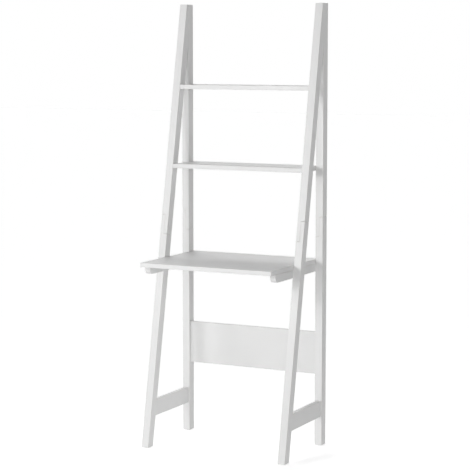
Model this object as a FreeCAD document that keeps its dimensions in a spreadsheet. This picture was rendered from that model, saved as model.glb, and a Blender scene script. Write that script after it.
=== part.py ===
"""Ladder desk: two A-shaped side frames, two shelves, a desktop on bearers and a back panel.

The frames are of 32 x 40 mm lengths. Each rear post is upright, each front leg leans
back and ends in a long taper against its post, and both are in two lengths joined by
a half-lap, so that the desk packs flat. The origin is on the floor under the middle
of the desk. X is to the right, Y to the back and Z up, in millimetres.
"""
import FreeCAD, Part
import os
import re

import Sketcher
from FreeCAD import Placement, Rotation, Vector

doc = FreeCAD.newDocument("ladder_desk")

# ---------------------------------------------------------------- driving dimensions
DIMENSIONS = {
    "overall_width": 640,
    "overall_depth": 450,
    "overall_height": 1785,
    # side frames
    "leg_width": 32,
    "leg_depth": 40,
    "foot_reach": 393,          # front of the front foot, ahead of the desk's back
    "lean_angle": 10.86,        # of the front legs, from upright
    "lap_height": 857,          # lower shoulder of the half-laps
    "lap_length": 80,
    "shoulder_gap": 0.6,        # between the end of a tongue and its shoulder
    "stretcher_top": 187,
    "stretcher_height": 65,
    "stretcher_thickness": 22,
    # boards
    "board_thickness": 18,
    "desk_height": 765,
    "middle_shelf_height": 1140,
    "upper_shelf_height": 1460,
    "desktop_gap": 0.5,         # each side, between the desktop and the frames
    "panel_top": 468,
    "panel_height": 173,
    "panel_setback": 10,        # behind the front of the rear posts
    # desk bearers
    "bearer_height": 32,
    "bearer_thickness": 25,
    "bearer_setback": 38,       # behind the front of the desktop
    "nose_radius": 22,
    "arris": 1,                 # the edges' chamfer
    # bolts, with their counterbores and caps
    "bolt_radius": 3,
    "bolt_hole_radius": 3.5,
    "bolt_head_radius": 6,
    "bolt_head_height": 3,
    "counterbore_radius": 6.6,
    "counterbore_depth": 6,
    "cap_radius": 6.5,
    "cap_thickness": 2.4,
    "cap_recess": 0.2,
    "long_bolt": 60,
    "bearer_bolt": 35,
    "lap_bolt": 20,
    "lap_bolt_spacing": 40,
    # threaded inserts and barrel nuts
    "insert_radius": 4.5,
    "insert_length": 10,
    "barrel_radius": 5,
    "barrel_length": 12,
    "barrel_inset": 28,         # from the end of the board
    # screws
    "screw_head_radius": 4,
    "screw_head_height": 2.4,
    "screw_head_play": 0.5,     # round the head in its hole
    "desktop_screw_radius": 2,
    "desktop_screw": 35,
    "desktop_screw_sink": 10,
    "first_desktop_screw": 70,  # ahead of the desk's back
    "desktop_screw_spacing": 130,
    "apex_screw_radius": 2.25,
    "apex_screw": 55,
    "apex_screw_sink": 4,
    "upper_apex_screw": 1715,
    "lower_apex_screw": 1660,
    # dowels and glides
    "dowel_radius": 4,
    "dowel_length": 40,
    "dowel_spacing": 34,
    "panel_bolt_inset": 35,     # from the panel's top and bottom edges
    "glide_radius": 11,
    "glide_height": 3,
    "glide_pin_radius": 1.25,
    "glide_pin": 12,
    # fasteners in general
    "fit": 0.1,                 # between a hole's wall and what fits it
    "end_room": 1,              # past a fastener's end
    "overcut": 1,               # of a drill or cutter, past the wood's face
    "round_sides": 10,
}

sizes = doc.addObject("Spreadsheet::Sheet", "Sizes")
for row, (name, value) in enumerate(DIMENSIONS.items(), start=1):
    sizes.set(f"A{row}", name)
    sizes.set(f"B{row}", str(value))
    sizes.setAlias(f"B{row}", name)
doc.recompute()


def rule(text):
    """An expression on the sheet: each dimension's name gets the sheet's name."""
    return re.sub("[a-z_]+", lambda word: f"Sizes.{word[0]}" if word[0] in DIMENSIONS else word[0], text)


def measure(text):
    return float(sizes.evalExpression(rule(text)))


# Lengths that follow from the driving ones.
BACK = "overall_depth / 2"
INNER_FACE = "(overall_width / 2 - leg_width)"
BETWEEN_FRAMES = "(overall_width - 2 * leg_width)"
LEG_LENGTH = "((overall_height - glide_height) / cos(lean_angle))"
TOP_LAND = "(foot_reach - (overall_height - glide_height) * tan(lean_angle) - leg_depth)"
LAP_ON_LEG = "((lap_height - glide_height) / cos(lean_angle))"
LAP_ON_POST = "(lap_height - glide_height)"
BEARER_TOP = "(desk_height - board_thickness)"
BEARER_MIDDLE = "(desk_height - board_thickness - bearer_height / 2)"
STRETCHER_MIDDLE = "(stretcher_top - stretcher_height / 2)"
TO_BARREL = "(leg_width + barrel_inset)"


def reach_at(height):
    """How far the front of the front leg is ahead of the desk's back."""
    return f"(foot_reach - ({height} - glide_height) * tan(lean_angle))"


def leg_middle_at(height):
    """Y of the middle of the leaning leg."""
    return f"({BACK} - {reach_at(height)} + leg_depth / 2 / cos(lean_angle))"


POST_MIDDLE = f"({BACK} - leg_depth / 2)"
PANEL_MIDDLE = f"({BACK} - leg_depth + panel_setback + board_thickness / 2)"


# ---------------------------------------------------------------- sketches and bodies
def origin_plane(body, role):
    return next(item for item in body.Origin.OriginFeatures if item.Role == role)


def new_body(name):
    body = doc.addObject("PartDesign::Body", name)
    body.Label = name
    return body


def new_sketch(body, role, name, offset=None):
    sketch = body.newObject("Sketcher::SketchObject", name)
    sketch.AttachmentSupport = [(origin_plane(body, role), "")]
    sketch.MapMode = "FlatFace"
    if offset:
        sketch.setExpression("AttachmentOffset.Base.z", rule(offset))
    return sketch


def bind_constraint(sketch, constraint, text):
    index = sketch.addConstraint(constraint)
    sketch.setExpression(f"Constraints[{index}]", rule(text))


def outline(sketch, corners):
    """A closed outline. Each corner is two rules, measured from the sketch's origin.

    Neighbours with the same rule share a vertical or horizontal line, and a corner on
    an axis is held there, so every length is given once.
    """
    points = [Vector(measure(across), measure(up), 0) for across, up in corners]
    count = len(corners)
    for index in range(count):
        line = Part.LineSegment(points[index], points[(index + 1) % count])
        sketch.addGeometry(line, False)
    for index in range(count):
        sketch.addConstraint(Sketcher.Constraint("Coincident", index, 2, (index + 1) % count, 1))
    vertical_axis, horizontal_axis = -2, -1
    directions = (
        (0, "Vertical", "DistanceX", vertical_axis),
        (1, "Horizontal", "DistanceY", horizontal_axis),
    )
    for part, straight, distance, axis in directions:
        settled = set()
        for index, corner in enumerate(corners):
            before, after = (index - 1) % count, (index + 1) % count
            neighbours = [item for item in (before, after) if corners[item][part] == corner[part]]
            held = [item for item in neighbours if item in settled]
            for item in held:
                edge = item if item == before else index
                sketch.addConstraint(Sketcher.Constraint(straight, edge))
            if not held and corner[part] == "0":
                sketch.addConstraint(Sketcher.Constraint("PointOnObject", index, 1, axis))
            elif not held:
                value = points[index][part]
                constraint = Sketcher.Constraint(distance, -1, 1, index, 1, value)
                bind_constraint(sketch, constraint, corner[part])
            settled.add(index)


def padded(body, sketch, length, name):
    pad = body.newObject("PartDesign::Pad", name)
    pad.Profile = sketch
    pad.setExpression("Length", rule(length))
    doc.recompute()
    return pad


def set_place(item, x="0", y="0", z="0"):
    for axis, text in zip("xyz", (x, y, z)):
        item.setExpression(f"Placement.Base.{axis}", rule(text))


def is_outside_corner(shape, edge):
    """Whether the two faces beside an edge make a clear outside corner."""
    middle = edge.valueAt((edge.FirstParameter + edge.LastParameter) / 2)
    normals = []
    for face in shape.ancestorsOfType(edge, Part.Face):
        u, v = face.Surface.parameter(middle)
        normals.append(face.normalAt(u, v))
    nearly_flat = 0.3  # radians
    if normals[0].getAngle(normals[1]) < nearly_flat:
        return False
    step, tolerance = 0.05, 1e-6
    inwards = (normals[0] + normals[1]) * -step
    return shape.isInside(middle + inwards, tolerance, True)


def arrises_taken_off(body, feature):
    """Chamfers every outside corner of a feature."""
    shape = feature.Shape
    edges = enumerate(shape.Edges, start=1)
    chamfer = body.newObject("PartDesign::Chamfer", f"{feature.Name}_arrises")
    chamfer.Base = (feature, [f"Edge{n}" for n, edge in edges if is_outside_corner(shape, edge)])
    chamfer.setExpression("Size", rule("arris"))
    doc.recompute()
    assert chamfer.Shape.Volume < shape.Volume, f"{feature.Name} kept its corners"
    return chamfer


# ---------------------------------------------------------------- fasteners and drills
# Each stands on Z. Its origin is where its hole opens, and it goes in along +Z, so a
# fastener, its drill and its cap share one place. Small fasteners and their holes have
# round_sides flat sides each, which keeps the many copies light.
def prism(body, kind, name, radius, start, end, plane="XY_Plane", height="0"):
    item = body.newObject(f"PartDesign::{kind}Prism", name)
    item.AttachmentSupport = [(origin_plane(body, plane), "")]
    item.MapMode = "FlatFace"
    item.setExpression("Polygon", rule("round_sides"))
    item.setExpression("Circumradius", rule(radius))
    item.setExpression("Height", rule(f"{end} - {start}"))
    item.setExpression("AttachmentOffset.Base.y", rule(height))
    item.setExpression("AttachmentOffset.Base.z", rule(start))
    doc.recompute()
    return item


def stepped(name, start, *steps):
    """Stacked stretches, each given as its radius and how deep it ends."""
    body = new_body(name)
    for number, (radius, end) in enumerate(steps, start=1):
        prism(body, "Additive", f"{name}_step_{number}", radius, start, end)
        start = end
    return body


def bolt(name, length):
    return stepped(
        name,
        "(counterbore_depth - bolt_head_height)",
        ("bolt_head_radius", "counterbore_depth"),
        ("bolt_radius", f"(counterbore_depth + {length})"),
    )


def screw(name, radius, length, sink):
    return stepped(
        name,
        f"({sink} - screw_head_height)",
        ("screw_head_radius", sink),
        (radius, f"({sink} + {length})"),
    )


def drill(name, *steps):
    """A drill starts outside the wood."""
    return stepped(name, "(-overcut)", *steps)


def bolt_hole(name, wall, insert_hole):
    """Counterbore, clearance through the wall, and then a blind hole for an insert."""
    return drill(
        name,
        ("counterbore_radius", "counterbore_depth"),
        ("bolt_hole_radius", wall),
        ("(insert_radius + fit)", f"({wall} + {insert_hole})"),
    )


def screw_hole(name, radius, length, sink):
    return drill(
        name,
        ("(screw_head_radius + screw_head_play)", sink),
        (f"({radius} + fit)", f"({sink} + {length} + end_room)"),
    )


def insert(name, start):
    end = f"({start} + insert_length)"
    body = stepped(name, start, ("insert_radius", end))
    whole = body.Shape.Volume
    prism(body, "Subtractive", f"{name}_thread", "(bolt_radius + fit)", start, end)
    assert body.Shape.Volume < whole, f"{name} has no thread"
    return body


def barrel(name, radius, start, end):
    """A round across the bolt's line, from start to end along X."""
    body = new_body(name)
    prism(body, "Additive", f"{name}_round", radius, start, end, "YZ_Plane", TO_BARREL)
    return body


def threaded_barrel():
    body = barrel("barrel_nut", "barrel_radius", "(-barrel_length / 2)", "(barrel_length / 2)")
    whole = body.Shape.Volume
    start, end = f"({TO_BARREL} - barrel_length)", f"({TO_BARREL} + barrel_length)"
    prism(body, "Subtractive", "barrel_nut_thread", "(bolt_radius + fit)", start, end)
    assert body.Shape.Volume < whole, "the barrel nut has no thread"
    return body


long_bolt = bolt("long_bolt", "long_bolt")
bearer_bolt = bolt("bearer_bolt", "bearer_bolt")
lap_bolt = bolt("lap_bolt", "lap_bolt")
lap_insert = insert("lap_insert", "leg_width / 2")
bearer_insert = insert("bearer_insert", "leg_width")
barrel_nut = threaded_barrel()
desktop_screw = screw("desktop_screw", "desktop_screw_radius", "desktop_screw", "desktop_screw_sink")
apex_screw = screw("apex_screw", "apex_screw_radius", "apex_screw", "apex_screw_sink")
dowel = stepped("dowel", "(-dowel_length / 2)", ("dowel_radius", "dowel_length / 2"))
cap = stepped("cap", "cap_recess", ("cap_radius", "(cap_recess + cap_thickness)"))

long_drill = drill(
    "long_drill",
    ("counterbore_radius", "counterbore_depth"),
    ("bolt_hole_radius", "(counterbore_depth + long_bolt + end_room)"),
)
barrel_drill = barrel(
    "barrel_drill", "(barrel_radius + fit)",
    "(-barrel_length / 2)", "(board_thickness / 2 + overcut)",
)
bearer_drill = bolt_hole("bearer_drill", "leg_width", "(insert_length + end_room)")
lap_drill = bolt_hole("lap_drill", "(leg_width / 2)", "(insert_length + end_room)")
desktop_screw_drill = screw_hole(
    "desktop_screw_drill", "desktop_screw_radius", "desktop_screw", "desktop_screw_sink"
)
apex_screw_drill = screw_hole(
    "apex_screw_drill", "apex_screw_radius", "apex_screw", "apex_screw_sink"
)
dowel_drill = stepped(
    "dowel_drill", "(-dowel_length / 2 - end_room)",
    ("(dowel_radius + fit)", "(dowel_length / 2 + end_room)"),
)
glide_drill = stepped(
    "glide_drill", "0", ("(glide_pin_radius + fit)", "(glide_height + glide_pin + end_room)")
)


def foot_glide():
    """A round disc under the foot, on a nail."""
    body = new_body("glide")
    disc = body.newObject("PartDesign::AdditiveCylinder", "glide_disc")
    disc.AttachmentSupport = [(origin_plane(body, "XY_Plane"), "")]
    disc.MapMode = "FlatFace"
    disc.setExpression("Radius", rule("glide_radius"))
    disc.setExpression("Height", rule("glide_height"))
    doc.recompute()
    prism(body, "Additive", "glide_nail", "glide_pin_radius", "glide_height", "(glide_height + glide_pin)")
    return body


glide = foot_glide()

# ---------------------------------------------------------------- places
# A place is X, Y and Z rules, and the axis and angle that turn +Z to the way in. The
# first two also turn +X down, and the next two turn it to the back, for barrel nuts.
TO_RIGHT = (Vector(0, 1, 0), "90")
TO_LEFT = (Vector(1, 0, -1), "180")
TO_RIGHT_NUT_BEHIND = (Vector(1, 1, 1), "120")
TO_LEFT_NUT_BEHIND = (Vector(-1, -1, 1), "120")
TO_FRONT = (Vector(1, 0, 0), "90")
TO_BACK = (Vector(1, 0, 0), "-90")
SQUARE_TO_LEG = (Vector(1, 0, 0), "- 90 - lean_angle")
UPWARD = (Vector(0, 0, 1), "0")

SIDES = {"left": -1, "right": 1}
INWARD = {"left": TO_RIGHT, "right": TO_LEFT}
OUTWARD = {"left": TO_LEFT, "right": TO_RIGHT}
INWARD_NUT_BEHIND = {"left": TO_RIGHT_NUT_BEHIND, "right": TO_LEFT_NUT_BEHIND}


def on_side(side, distance):
    return f"{SIDES[side]} * {distance}"


def along_leg(across, length):
    """Y and Z of a point of the leaning leg, from its foot's front corner."""
    y = f"({BACK} - foot_reach + {across} * cos(lean_angle) + {length} * sin(lean_angle))"
    z = f"(glide_height - {across} * sin(lean_angle) + {length} * cos(lean_angle))"
    return y, z


def placed(name, master, place):
    x, y, z, (axis, angle) = place
    copy = doc.addObject("App::Link", name)
    copy.LinkedObject = master
    slight_turn = 0.001  # it holds the axis where the angle is nothing
    copy.Placement = Placement(Vector(0, 0, 0), Rotation(axis, measure(angle) or slight_turn))
    set_place(copy, x, y, z)
    copy.setExpression("Placement.Rotation.Angle", rule(angle))
    return copy


def frame_places(side):
    """Where each fastener of one side frame goes, by the piece that it holds."""
    outer = on_side(side, "overall_width / 2")
    inner = on_side(side, INNER_FACE)
    middle = on_side(side, "(overall_width / 2 - leg_width / 2)")
    bearer = on_side(side, f"({INNER_FACE} - bearer_thickness / 2)")
    places = {}
    for shelf in ("middle", "upper"):
        height = f"({shelf}_shelf_height - board_thickness / 2)"
        places[f"{shelf}_shelf_leg"] = [(outer, leg_middle_at(height), height, INWARD[side])]
        places[f"{shelf}_shelf_post"] = [(outer, POST_MIDDLE, height, INWARD[side])]
    places["bearer_leg"] = [(outer, leg_middle_at(BEARER_MIDDLE), BEARER_MIDDLE, INWARD[side])]
    places["bearer_post"] = [(outer, POST_MIDDLE, BEARER_MIDDLE, INWARD[side])]
    places["panel"] = [
        (outer, PANEL_MIDDLE, height, INWARD_NUT_BEHIND[side])
        for height in (
            "(panel_top - panel_bolt_inset)",
            "(panel_top - panel_height + panel_bolt_inset)",
        )
    ]
    steps = ("(lap_length - lap_bolt_spacing) / 2", "(lap_length + lap_bolt_spacing) / 2")
    places["leg_lap"] = [
        (inner, *along_leg("leg_depth / 2", f"({LAP_ON_LEG} + {step})"), OUTWARD[side])
        for step in steps
    ]
    places["post_lap"] = [
        (inner, POST_MIDDLE, f"(lap_height + {step})", OUTWARD[side]) for step in steps
    ]
    places["apex"] = [
        (middle, BACK, height, TO_FRONT) for height in ("lower_apex_screw", "upper_apex_screw")
    ]
    dowel_heights = [f"({STRETCHER_MIDDLE} {sign} dowel_spacing / 2)" for sign in "-+"]
    places["stretcher_post"] = [
        (middle, f"({BACK} - leg_depth)", height, TO_BACK) for height in dowel_heights
    ]
    places["stretcher_leg"] = [
        (middle, f"({BACK} - {reach_at(height)} + leg_depth / cos(lean_angle))", height, SQUARE_TO_LEG)
        for height in dowel_heights
    ]
    places["desktop"] = [
        (bearer, f"({BACK} - first_desktop_screw - {number} * desktop_screw_spacing)",
         f"({BEARER_TOP} - bearer_height)", UPWARD)
        for number in range(3)
    ]
    places["leg_glide"] = [(middle, f"({BACK} - foot_reach + leg_depth / 2 / cos(lean_angle))", "0", UPWARD)]
    places["post_glide"] = [(middle, POST_MIDDLE, "0", UPWARD)]
    return places


PLACES = {side: frame_places(side) for side in SIDES}


def places_of(side, *holds):
    return [place for hold in holds for place in PLACES[side][hold]]


def both_sides(*holds):
    return [place for side in SIDES for place in places_of(side, *holds)]


# ---------------------------------------------------------------- nodes
nodes = {}


def make_node(name, item):
    item.Label = name
    nodes[name] = item


def fastener_group(name, master, *holds):
    """One node of separate identical pieces, on both sides."""
    copies = [
        placed(f"{name}_{number}", master, place)
        for number, place in enumerate(both_sides(*holds), start=1)
    ]
    group = doc.addObject("Part::Compound", name)
    group.Links = copies
    make_node(name, group)


def drilled(name, body, holes):
    """Cuts holes, given as pairs of a drill and its places, and makes the node."""
    body.Label = f"{name}_undrilled"
    whole = body.Shape.Volume
    bits = [
        placed(f"{name}_hole", drill, place)
        for drill, places in holes
        for place in places
    ]
    bore = doc.addObject("Part::MultiFuse", f"{name}_holes")
    bore.Shapes = bits
    cut = doc.addObject("Part::Cut", f"{name}_drilled")
    cut.Base = body
    cut.Tool = bore
    doc.recompute()
    least_wood = 50  # cubic millimetres that its holes take away
    assert cut.Shape.Volume < whole - least_wood, f"{name} has no holes"
    make_node(name, cut)


# ---------------------------------------------------------------- side frames
def lap_cut(body, side, outer_half, feature_name, start, end):
    """Takes half the width away between two distances along the piece."""
    sketch = new_sketch(body, "YZ_Plane", f"{feature_name}_sketch", "leg_width / 2")
    front, back = "(-overcut)", "(leg_depth + overcut)"
    outline(sketch, ((front, start), (front, end), (back, end), (back, start)))
    whole = body.Shape.Volume
    pocket = body.newObject("PartDesign::Pocket", feature_name)
    pocket.Profile = sketch
    pocket.setExpression("Length", rule("leg_width / 2"))
    # The lower-X half is the outer one on the left frame and the inner one on the right.
    pocket.Reversed = outer_half == (side == "right")
    doc.recompute()
    half = measure("leg_width / 2 * leg_depth * (lap_length - shoulder_gap)")
    taken, tolerance = whole - body.Shape.Volume, 0.02
    assert abs(taken - half) < tolerance * half, f"{feature_name} took the wrong wood"
    return pocket


def side_x(side):
    return INNER_FACE if side == "right" else "- overall_width / 2"


def stand_leaning(body, side):
    body.Placement = Placement(Vector(0, 0, 0), Rotation(Vector(1, 0, 0), -measure("lean_angle")))
    set_place(body, side_x(side), f"{BACK} - foot_reach", "glide_height")
    body.setExpression("Placement.Rotation.Angle", rule("- lean_angle"))


def stand_upright(body, side):
    set_place(body, side_x(side), f"{BACK} - leg_depth", "glide_height")


def length_of_timber(name, side, corners, outer_lap, lap_start, stand):
    """A lap takes away the inner half of a lower length and the outer half of an upper one."""
    body = new_body(f"{name}_timber")
    sketch = new_sketch(body, "YZ_Plane", f"{name}_side")
    outline(sketch, corners)
    padded(body, sketch, "leg_width", f"{name}_pad")
    start, end = lap_start, f"({lap_start} + lap_length)"
    if outer_lap:
        start = f"({start} - overcut)"
    else:
        end = f"({end} + overcut)"
    lap = lap_cut(body, side, outer_lap, f"{name}_lap", start, end)
    arrises_taken_off(body, lap)
    stand(body, side)
    doc.recompute()
    return body


def front_leg_lower(side):
    name = f"{side}_front_leg_lower"
    top = f"({LAP_ON_LEG} + lap_length - shoulder_gap)"
    corners = (
        ("0", "0"),
        ("0", top),
        ("leg_depth", top),
        ("leg_depth", "leg_depth * tan(lean_angle)"),
    )
    body = length_of_timber(name, side, corners, False, LAP_ON_LEG, stand_leaning)
    drilled(name, body, (
        (glide_drill, places_of(side, "leg_glide")),
        (dowel_drill, places_of(side, "stretcher_leg")),
        (bearer_drill, places_of(side, "bearer_leg")),
        (lap_drill, places_of(side, "leg_lap")),
    ))


def front_leg_upper(side):
    """The top is cut level, and tapers where its back is cut upright against the post."""
    name = f"{side}_front_leg_upper"
    bottom = f"({LAP_ON_LEG} + shoulder_gap)"
    taper_end = f"({LEG_LENGTH} + {TOP_LAND} / sin(lean_angle) - leg_depth / tan(lean_angle))"
    corners = (
        ("0", bottom),
        ("0", LEG_LENGTH),
        (f"{TOP_LAND} * cos(lean_angle)", f"({LEG_LENGTH} + {TOP_LAND} * sin(lean_angle))"),
        ("leg_depth", taper_end),
        ("leg_depth", bottom),
    )
    body = length_of_timber(name, side, corners, True, LAP_ON_LEG, stand_leaning)
    drilled(name, body, (
        (lap_drill, places_of(side, "leg_lap")),
        (long_drill, places_of(side, "middle_shelf_leg", "upper_shelf_leg")),
        (apex_screw_drill, places_of(side, "apex")),
    ))


def rear_post_lower(side):
    name = f"{side}_rear_post_lower"
    top = f"({LAP_ON_POST} + lap_length - shoulder_gap)"
    corners = (("0", "0"), ("0", top), ("leg_depth", top), ("leg_depth", "0"))
    body = length_of_timber(name, side, corners, False, LAP_ON_POST, stand_upright)
    drilled(name, body, (
        (glide_drill, places_of(side, "post_glide")),
        (dowel_drill, places_of(side, "stretcher_post")),
        (long_drill, places_of(side, "panel")),
        (bearer_drill, places_of(side, "bearer_post")),
        (lap_drill, places_of(side, "post_lap")),
    ))


def rear_post_upper(side):
    name = f"{side}_rear_post_upper"
    bottom = f"({LAP_ON_POST} + shoulder_gap)"
    top = "(overall_height - glide_height)"
    corners = (("0", bottom), ("0", top), ("leg_depth", top), ("leg_depth", bottom))
    body = length_of_timber(name, side, corners, True, LAP_ON_POST, stand_upright)
    drilled(name, body, (
        (lap_drill, places_of(side, "post_lap")),
        (long_drill, places_of(side, "middle_shelf_post", "upper_shelf_post")),
        (apex_screw_drill, places_of(side, "apex")),
    ))


def side_stretcher(side):
    """It fills the space from the back of the leg to the front of the post."""
    name = f"{side}_side_stretcher"
    bottom = "(stretcher_top - stretcher_height)"
    behind_leg = "(leg_depth / cos(lean_angle))"
    corners = (
        (f"({behind_leg} - {reach_at('stretcher_top')})", "stretcher_top"),
        ("- leg_depth", "stretcher_top"),
        ("- leg_depth", bottom),
        (f"({behind_leg} - {reach_at(bottom)})", bottom),
    )
    body = new_body(f"{name}_board")
    sketch = new_sketch(body, "YZ_Plane", f"{name}_side")
    outline(sketch, corners)
    board = padded(body, sketch, "stretcher_thickness", f"{name}_pad")
    arrises_taken_off(body, board)
    near = on_side(side, "(overall_width / 2 - leg_width / 2)")
    set_place(body, f"{near} - stretcher_thickness / 2", BACK, "0")
    doc.recompute()
    drilled(name, body, ((dowel_drill, places_of(side, "stretcher_post", "stretcher_leg")),))


# ---------------------------------------------------------------- desk, shelves and panel
def desk_bearer(side):
    """A rail inside the frame, with the lower corner of its front end rounded."""
    name = f"{side}_desk_bearer"
    front = "(bearer_setback - overall_depth)"
    body = new_body(f"{name}_rail")
    sketch = new_sketch(body, "YZ_Plane", f"{name}_side")
    outline(sketch, ((front, "0"), (front, "bearer_height"), ("0", "bearer_height"), ("0", "0")))
    rail = padded(body, sketch, "bearer_thickness", f"{name}_pad")

    whole, near = rail.Shape.BoundBox, 1
    lower_front = [
        f"Edge{n}" for n, edge in enumerate(rail.Shape.Edges, start=1)
        if edge.BoundBox.YMax < whole.YMin + near and edge.BoundBox.ZMax < whole.ZMin + near
    ]
    nose = body.newObject("PartDesign::Fillet", f"{name}_nose")
    nose.Base = (rail, lower_front)
    nose.setExpression("Radius", rule("nose_radius"))
    doc.recompute()
    arrises_taken_off(body, nose)
    inner_side = {"left": f"-{INNER_FACE}", "right": f"{INNER_FACE} - bearer_thickness"}
    set_place(body, inner_side[side], BACK, f"{BEARER_TOP} - bearer_height")
    doc.recompute()
    drilled(name, body, (
        (bearer_drill, places_of(side, "bearer_leg", "bearer_post")),
        (desktop_screw_drill, places_of(side, "desktop")),
    ))


def flat_board(name, width, depth, top, holes):
    """A level board from the desk's back forwards."""
    body = new_body(f"{name}_board")
    sketch = new_sketch(body, "XY_Plane", f"{name}_plan")
    left, right = f"- {width} / 2", f"{width} / 2"
    front = f"- {depth}"
    outline(sketch, ((left, front), (left, "0"), (right, "0"), (right, front)))
    board = padded(body, sketch, "board_thickness", f"{name}_pad")
    arrises_taken_off(body, board)
    set_place(body, "0", BACK, f"{top} - board_thickness")
    doc.recompute()
    drilled(name, body, holes)


def back_panel():
    name = "back_panel"
    body = new_body(f"{name}_board")
    sketch = new_sketch(body, "XZ_Plane", f"{name}_front")
    left, right = f"- {BETWEEN_FRAMES} / 2", f"{BETWEEN_FRAMES} / 2"
    outline(sketch, ((left, "0"), (left, "panel_height"), (right, "panel_height"), (right, "0")))
    board = padded(body, sketch, "board_thickness", f"{name}_pad")
    arrises_taken_off(body, board)
    set_place(body, "0", f"{PANEL_MIDDLE} + board_thickness / 2", "panel_top - panel_height")
    doc.recompute()
    holds = both_sides("panel")
    drilled(name, body, ((long_drill, holds), (barrel_drill, holds)))


for side in SIDES:
    front_leg_lower(side)
    front_leg_upper(side)
    rear_post_lower(side)
    rear_post_upper(side)
    side_stretcher(side)
    desk_bearer(side)

desktop_width = f"({BETWEEN_FRAMES} - 2 * desktop_gap)"
flat_board("desktop", desktop_width, "overall_depth", "desk_height",
           ((desktop_screw_drill, both_sides("desktop")),))
for shelf in ("middle", "upper"):
    holds = both_sides(f"{shelf}_shelf_leg", f"{shelf}_shelf_post")
    flat_board(f"{shelf}_shelf", BETWEEN_FRAMES, reach_at(f"{shelf}_shelf_height"),
               f"{shelf}_shelf_height", ((long_drill, holds), (barrel_drill, holds)))
back_panel()

# ---------------------------------------------------------------- fasteners
SHELF_HOLDS = ("middle_shelf_leg", "middle_shelf_post", "upper_shelf_leg", "upper_shelf_post")
BEARER_HOLDS = ("bearer_leg", "bearer_post")
LAP_HOLDS = ("leg_lap", "post_lap")

fastener_group("stretcher_dowels", dowel, "stretcher_post", "stretcher_leg")
fastener_group("apex_screws", apex_screw, "apex")
fastener_group("lap_bolts", lap_bolt, *LAP_HOLDS)
fastener_group("lap_inserts", lap_insert, *LAP_HOLDS)
fastener_group("bearer_bolts", bearer_bolt, *BEARER_HOLDS)
fastener_group("bearer_inserts", bearer_insert, *BEARER_HOLDS)
fastener_group("desktop_screws", desktop_screw, "desktop")
fastener_group("shelf_bolts", long_bolt, *SHELF_HOLDS)
fastener_group("shelf_barrel_nuts", barrel_nut, *SHELF_HOLDS)
fastener_group("panel_bolts", long_bolt, "panel")
fastener_group("panel_barrel_nuts", barrel_nut, "panel")
fastener_group("cover_caps", cap, *SHELF_HOLDS, *BEARER_HOLDS, *LAP_HOLDS, "panel")
fastener_group("foot_glides", glide, "leg_glide", "post_glide")

# ---------------------------------------------------------------- checks and files
doc.recompute()
for item in doc.Objects:
    failed = {"Invalid", "Error"} & set(item.State)
    assert not failed, f"{item.Label} failed: {item.State}"

os.makedirs("parts", exist_ok=True)
for name, item in nodes.items():
    shape = item.Shape
    assert not shape.isNull() and shape.isValid(), f"{name} has no sound shape"
    shape.exportStep(f"parts/{name}.step")
    box = shape.BoundBox
    print(f"{name}: {len(shape.Solids)} solid(s), {shape.Volume / 1000:.1f} cm3, "
          f"{box.XLength:.1f} x {box.YLength:.1f} x {box.ZLength:.1f} mm from z {box.ZMin:.1f}")
print(f"{len(nodes)} nodes")
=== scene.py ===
# %% [markdown]
# # A white ladder desk
#
# The desk is flat-pack furniture: two side frames in painted wood, each a leaning leg against
# an upright post, two shelves, a desktop that reaches forward on bearers, and a low back
# panel. The CAD frame holds every timber, board and fastener at its real size. This lesson
# gives the timbers and boards their sanded arrises and their paint, and models the small
# hardware that shows: the caps over the bolt heads, the screws, the cross dowels and the foot
# glides.
#
# The CAD box is loaded first and kept in the scene.

# %% The frame
import math

import bmesh
import bpy
from mathutils import Matrix, Vector


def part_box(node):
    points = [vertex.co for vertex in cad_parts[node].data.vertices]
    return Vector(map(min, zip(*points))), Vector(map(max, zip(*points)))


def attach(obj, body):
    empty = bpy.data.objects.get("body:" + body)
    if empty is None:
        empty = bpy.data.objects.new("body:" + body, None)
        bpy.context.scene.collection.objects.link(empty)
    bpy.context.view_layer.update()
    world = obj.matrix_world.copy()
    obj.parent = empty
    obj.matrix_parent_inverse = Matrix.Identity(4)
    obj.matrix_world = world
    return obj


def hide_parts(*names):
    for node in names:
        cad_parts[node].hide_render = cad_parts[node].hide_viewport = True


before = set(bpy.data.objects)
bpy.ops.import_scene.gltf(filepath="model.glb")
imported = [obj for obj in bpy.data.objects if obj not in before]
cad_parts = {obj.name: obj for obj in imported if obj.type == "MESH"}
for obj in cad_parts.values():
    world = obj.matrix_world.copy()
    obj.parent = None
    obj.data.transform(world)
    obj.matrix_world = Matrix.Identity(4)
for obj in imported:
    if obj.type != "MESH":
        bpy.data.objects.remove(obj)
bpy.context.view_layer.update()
scene = bpy.context.scene
MM = 0.001


# %% [markdown]
# ## The camera
#
# A long lens from well back keeps the uprights nearly parallel, which is how furniture is
# usually shown. The camera stands to the right of the desk, at the height of a person's eyes.
# It looks along its own -Z, so it is tipped up to a little below the horizon and then turned.
#
# The Standard view shows each colour as it is written, with no film look over it.

# %% The camera
IMAGE_SIDE = 470
FOCAL_LENGTH_PIXELS = 1647.3
SENSOR_WIDTH = 36.0
STANDS_AT = (2.960, -5.820, 1.621)
TURN_LEFT = math.radians(26.80)
LOOK_DOWN = math.radians(6.584)

camera_data = bpy.data.cameras.new("camera")
camera_data.sensor_width = SENSOR_WIDTH
camera_data.lens = FOCAL_LENGTH_PIXELS / IMAGE_SIDE * SENSOR_WIDTH
camera = bpy.data.objects.new("camera", camera_data)
camera.location = STANDS_AT
camera.rotation_euler = (math.pi / 2 - LOOK_DOWN, 0, TURN_LEFT)
scene.collection.objects.link(camera)
scene.camera = camera
scene.view_settings.view_transform = "Standard"
print("lens:", round(camera_data.lens, 2), "mm")

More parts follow.
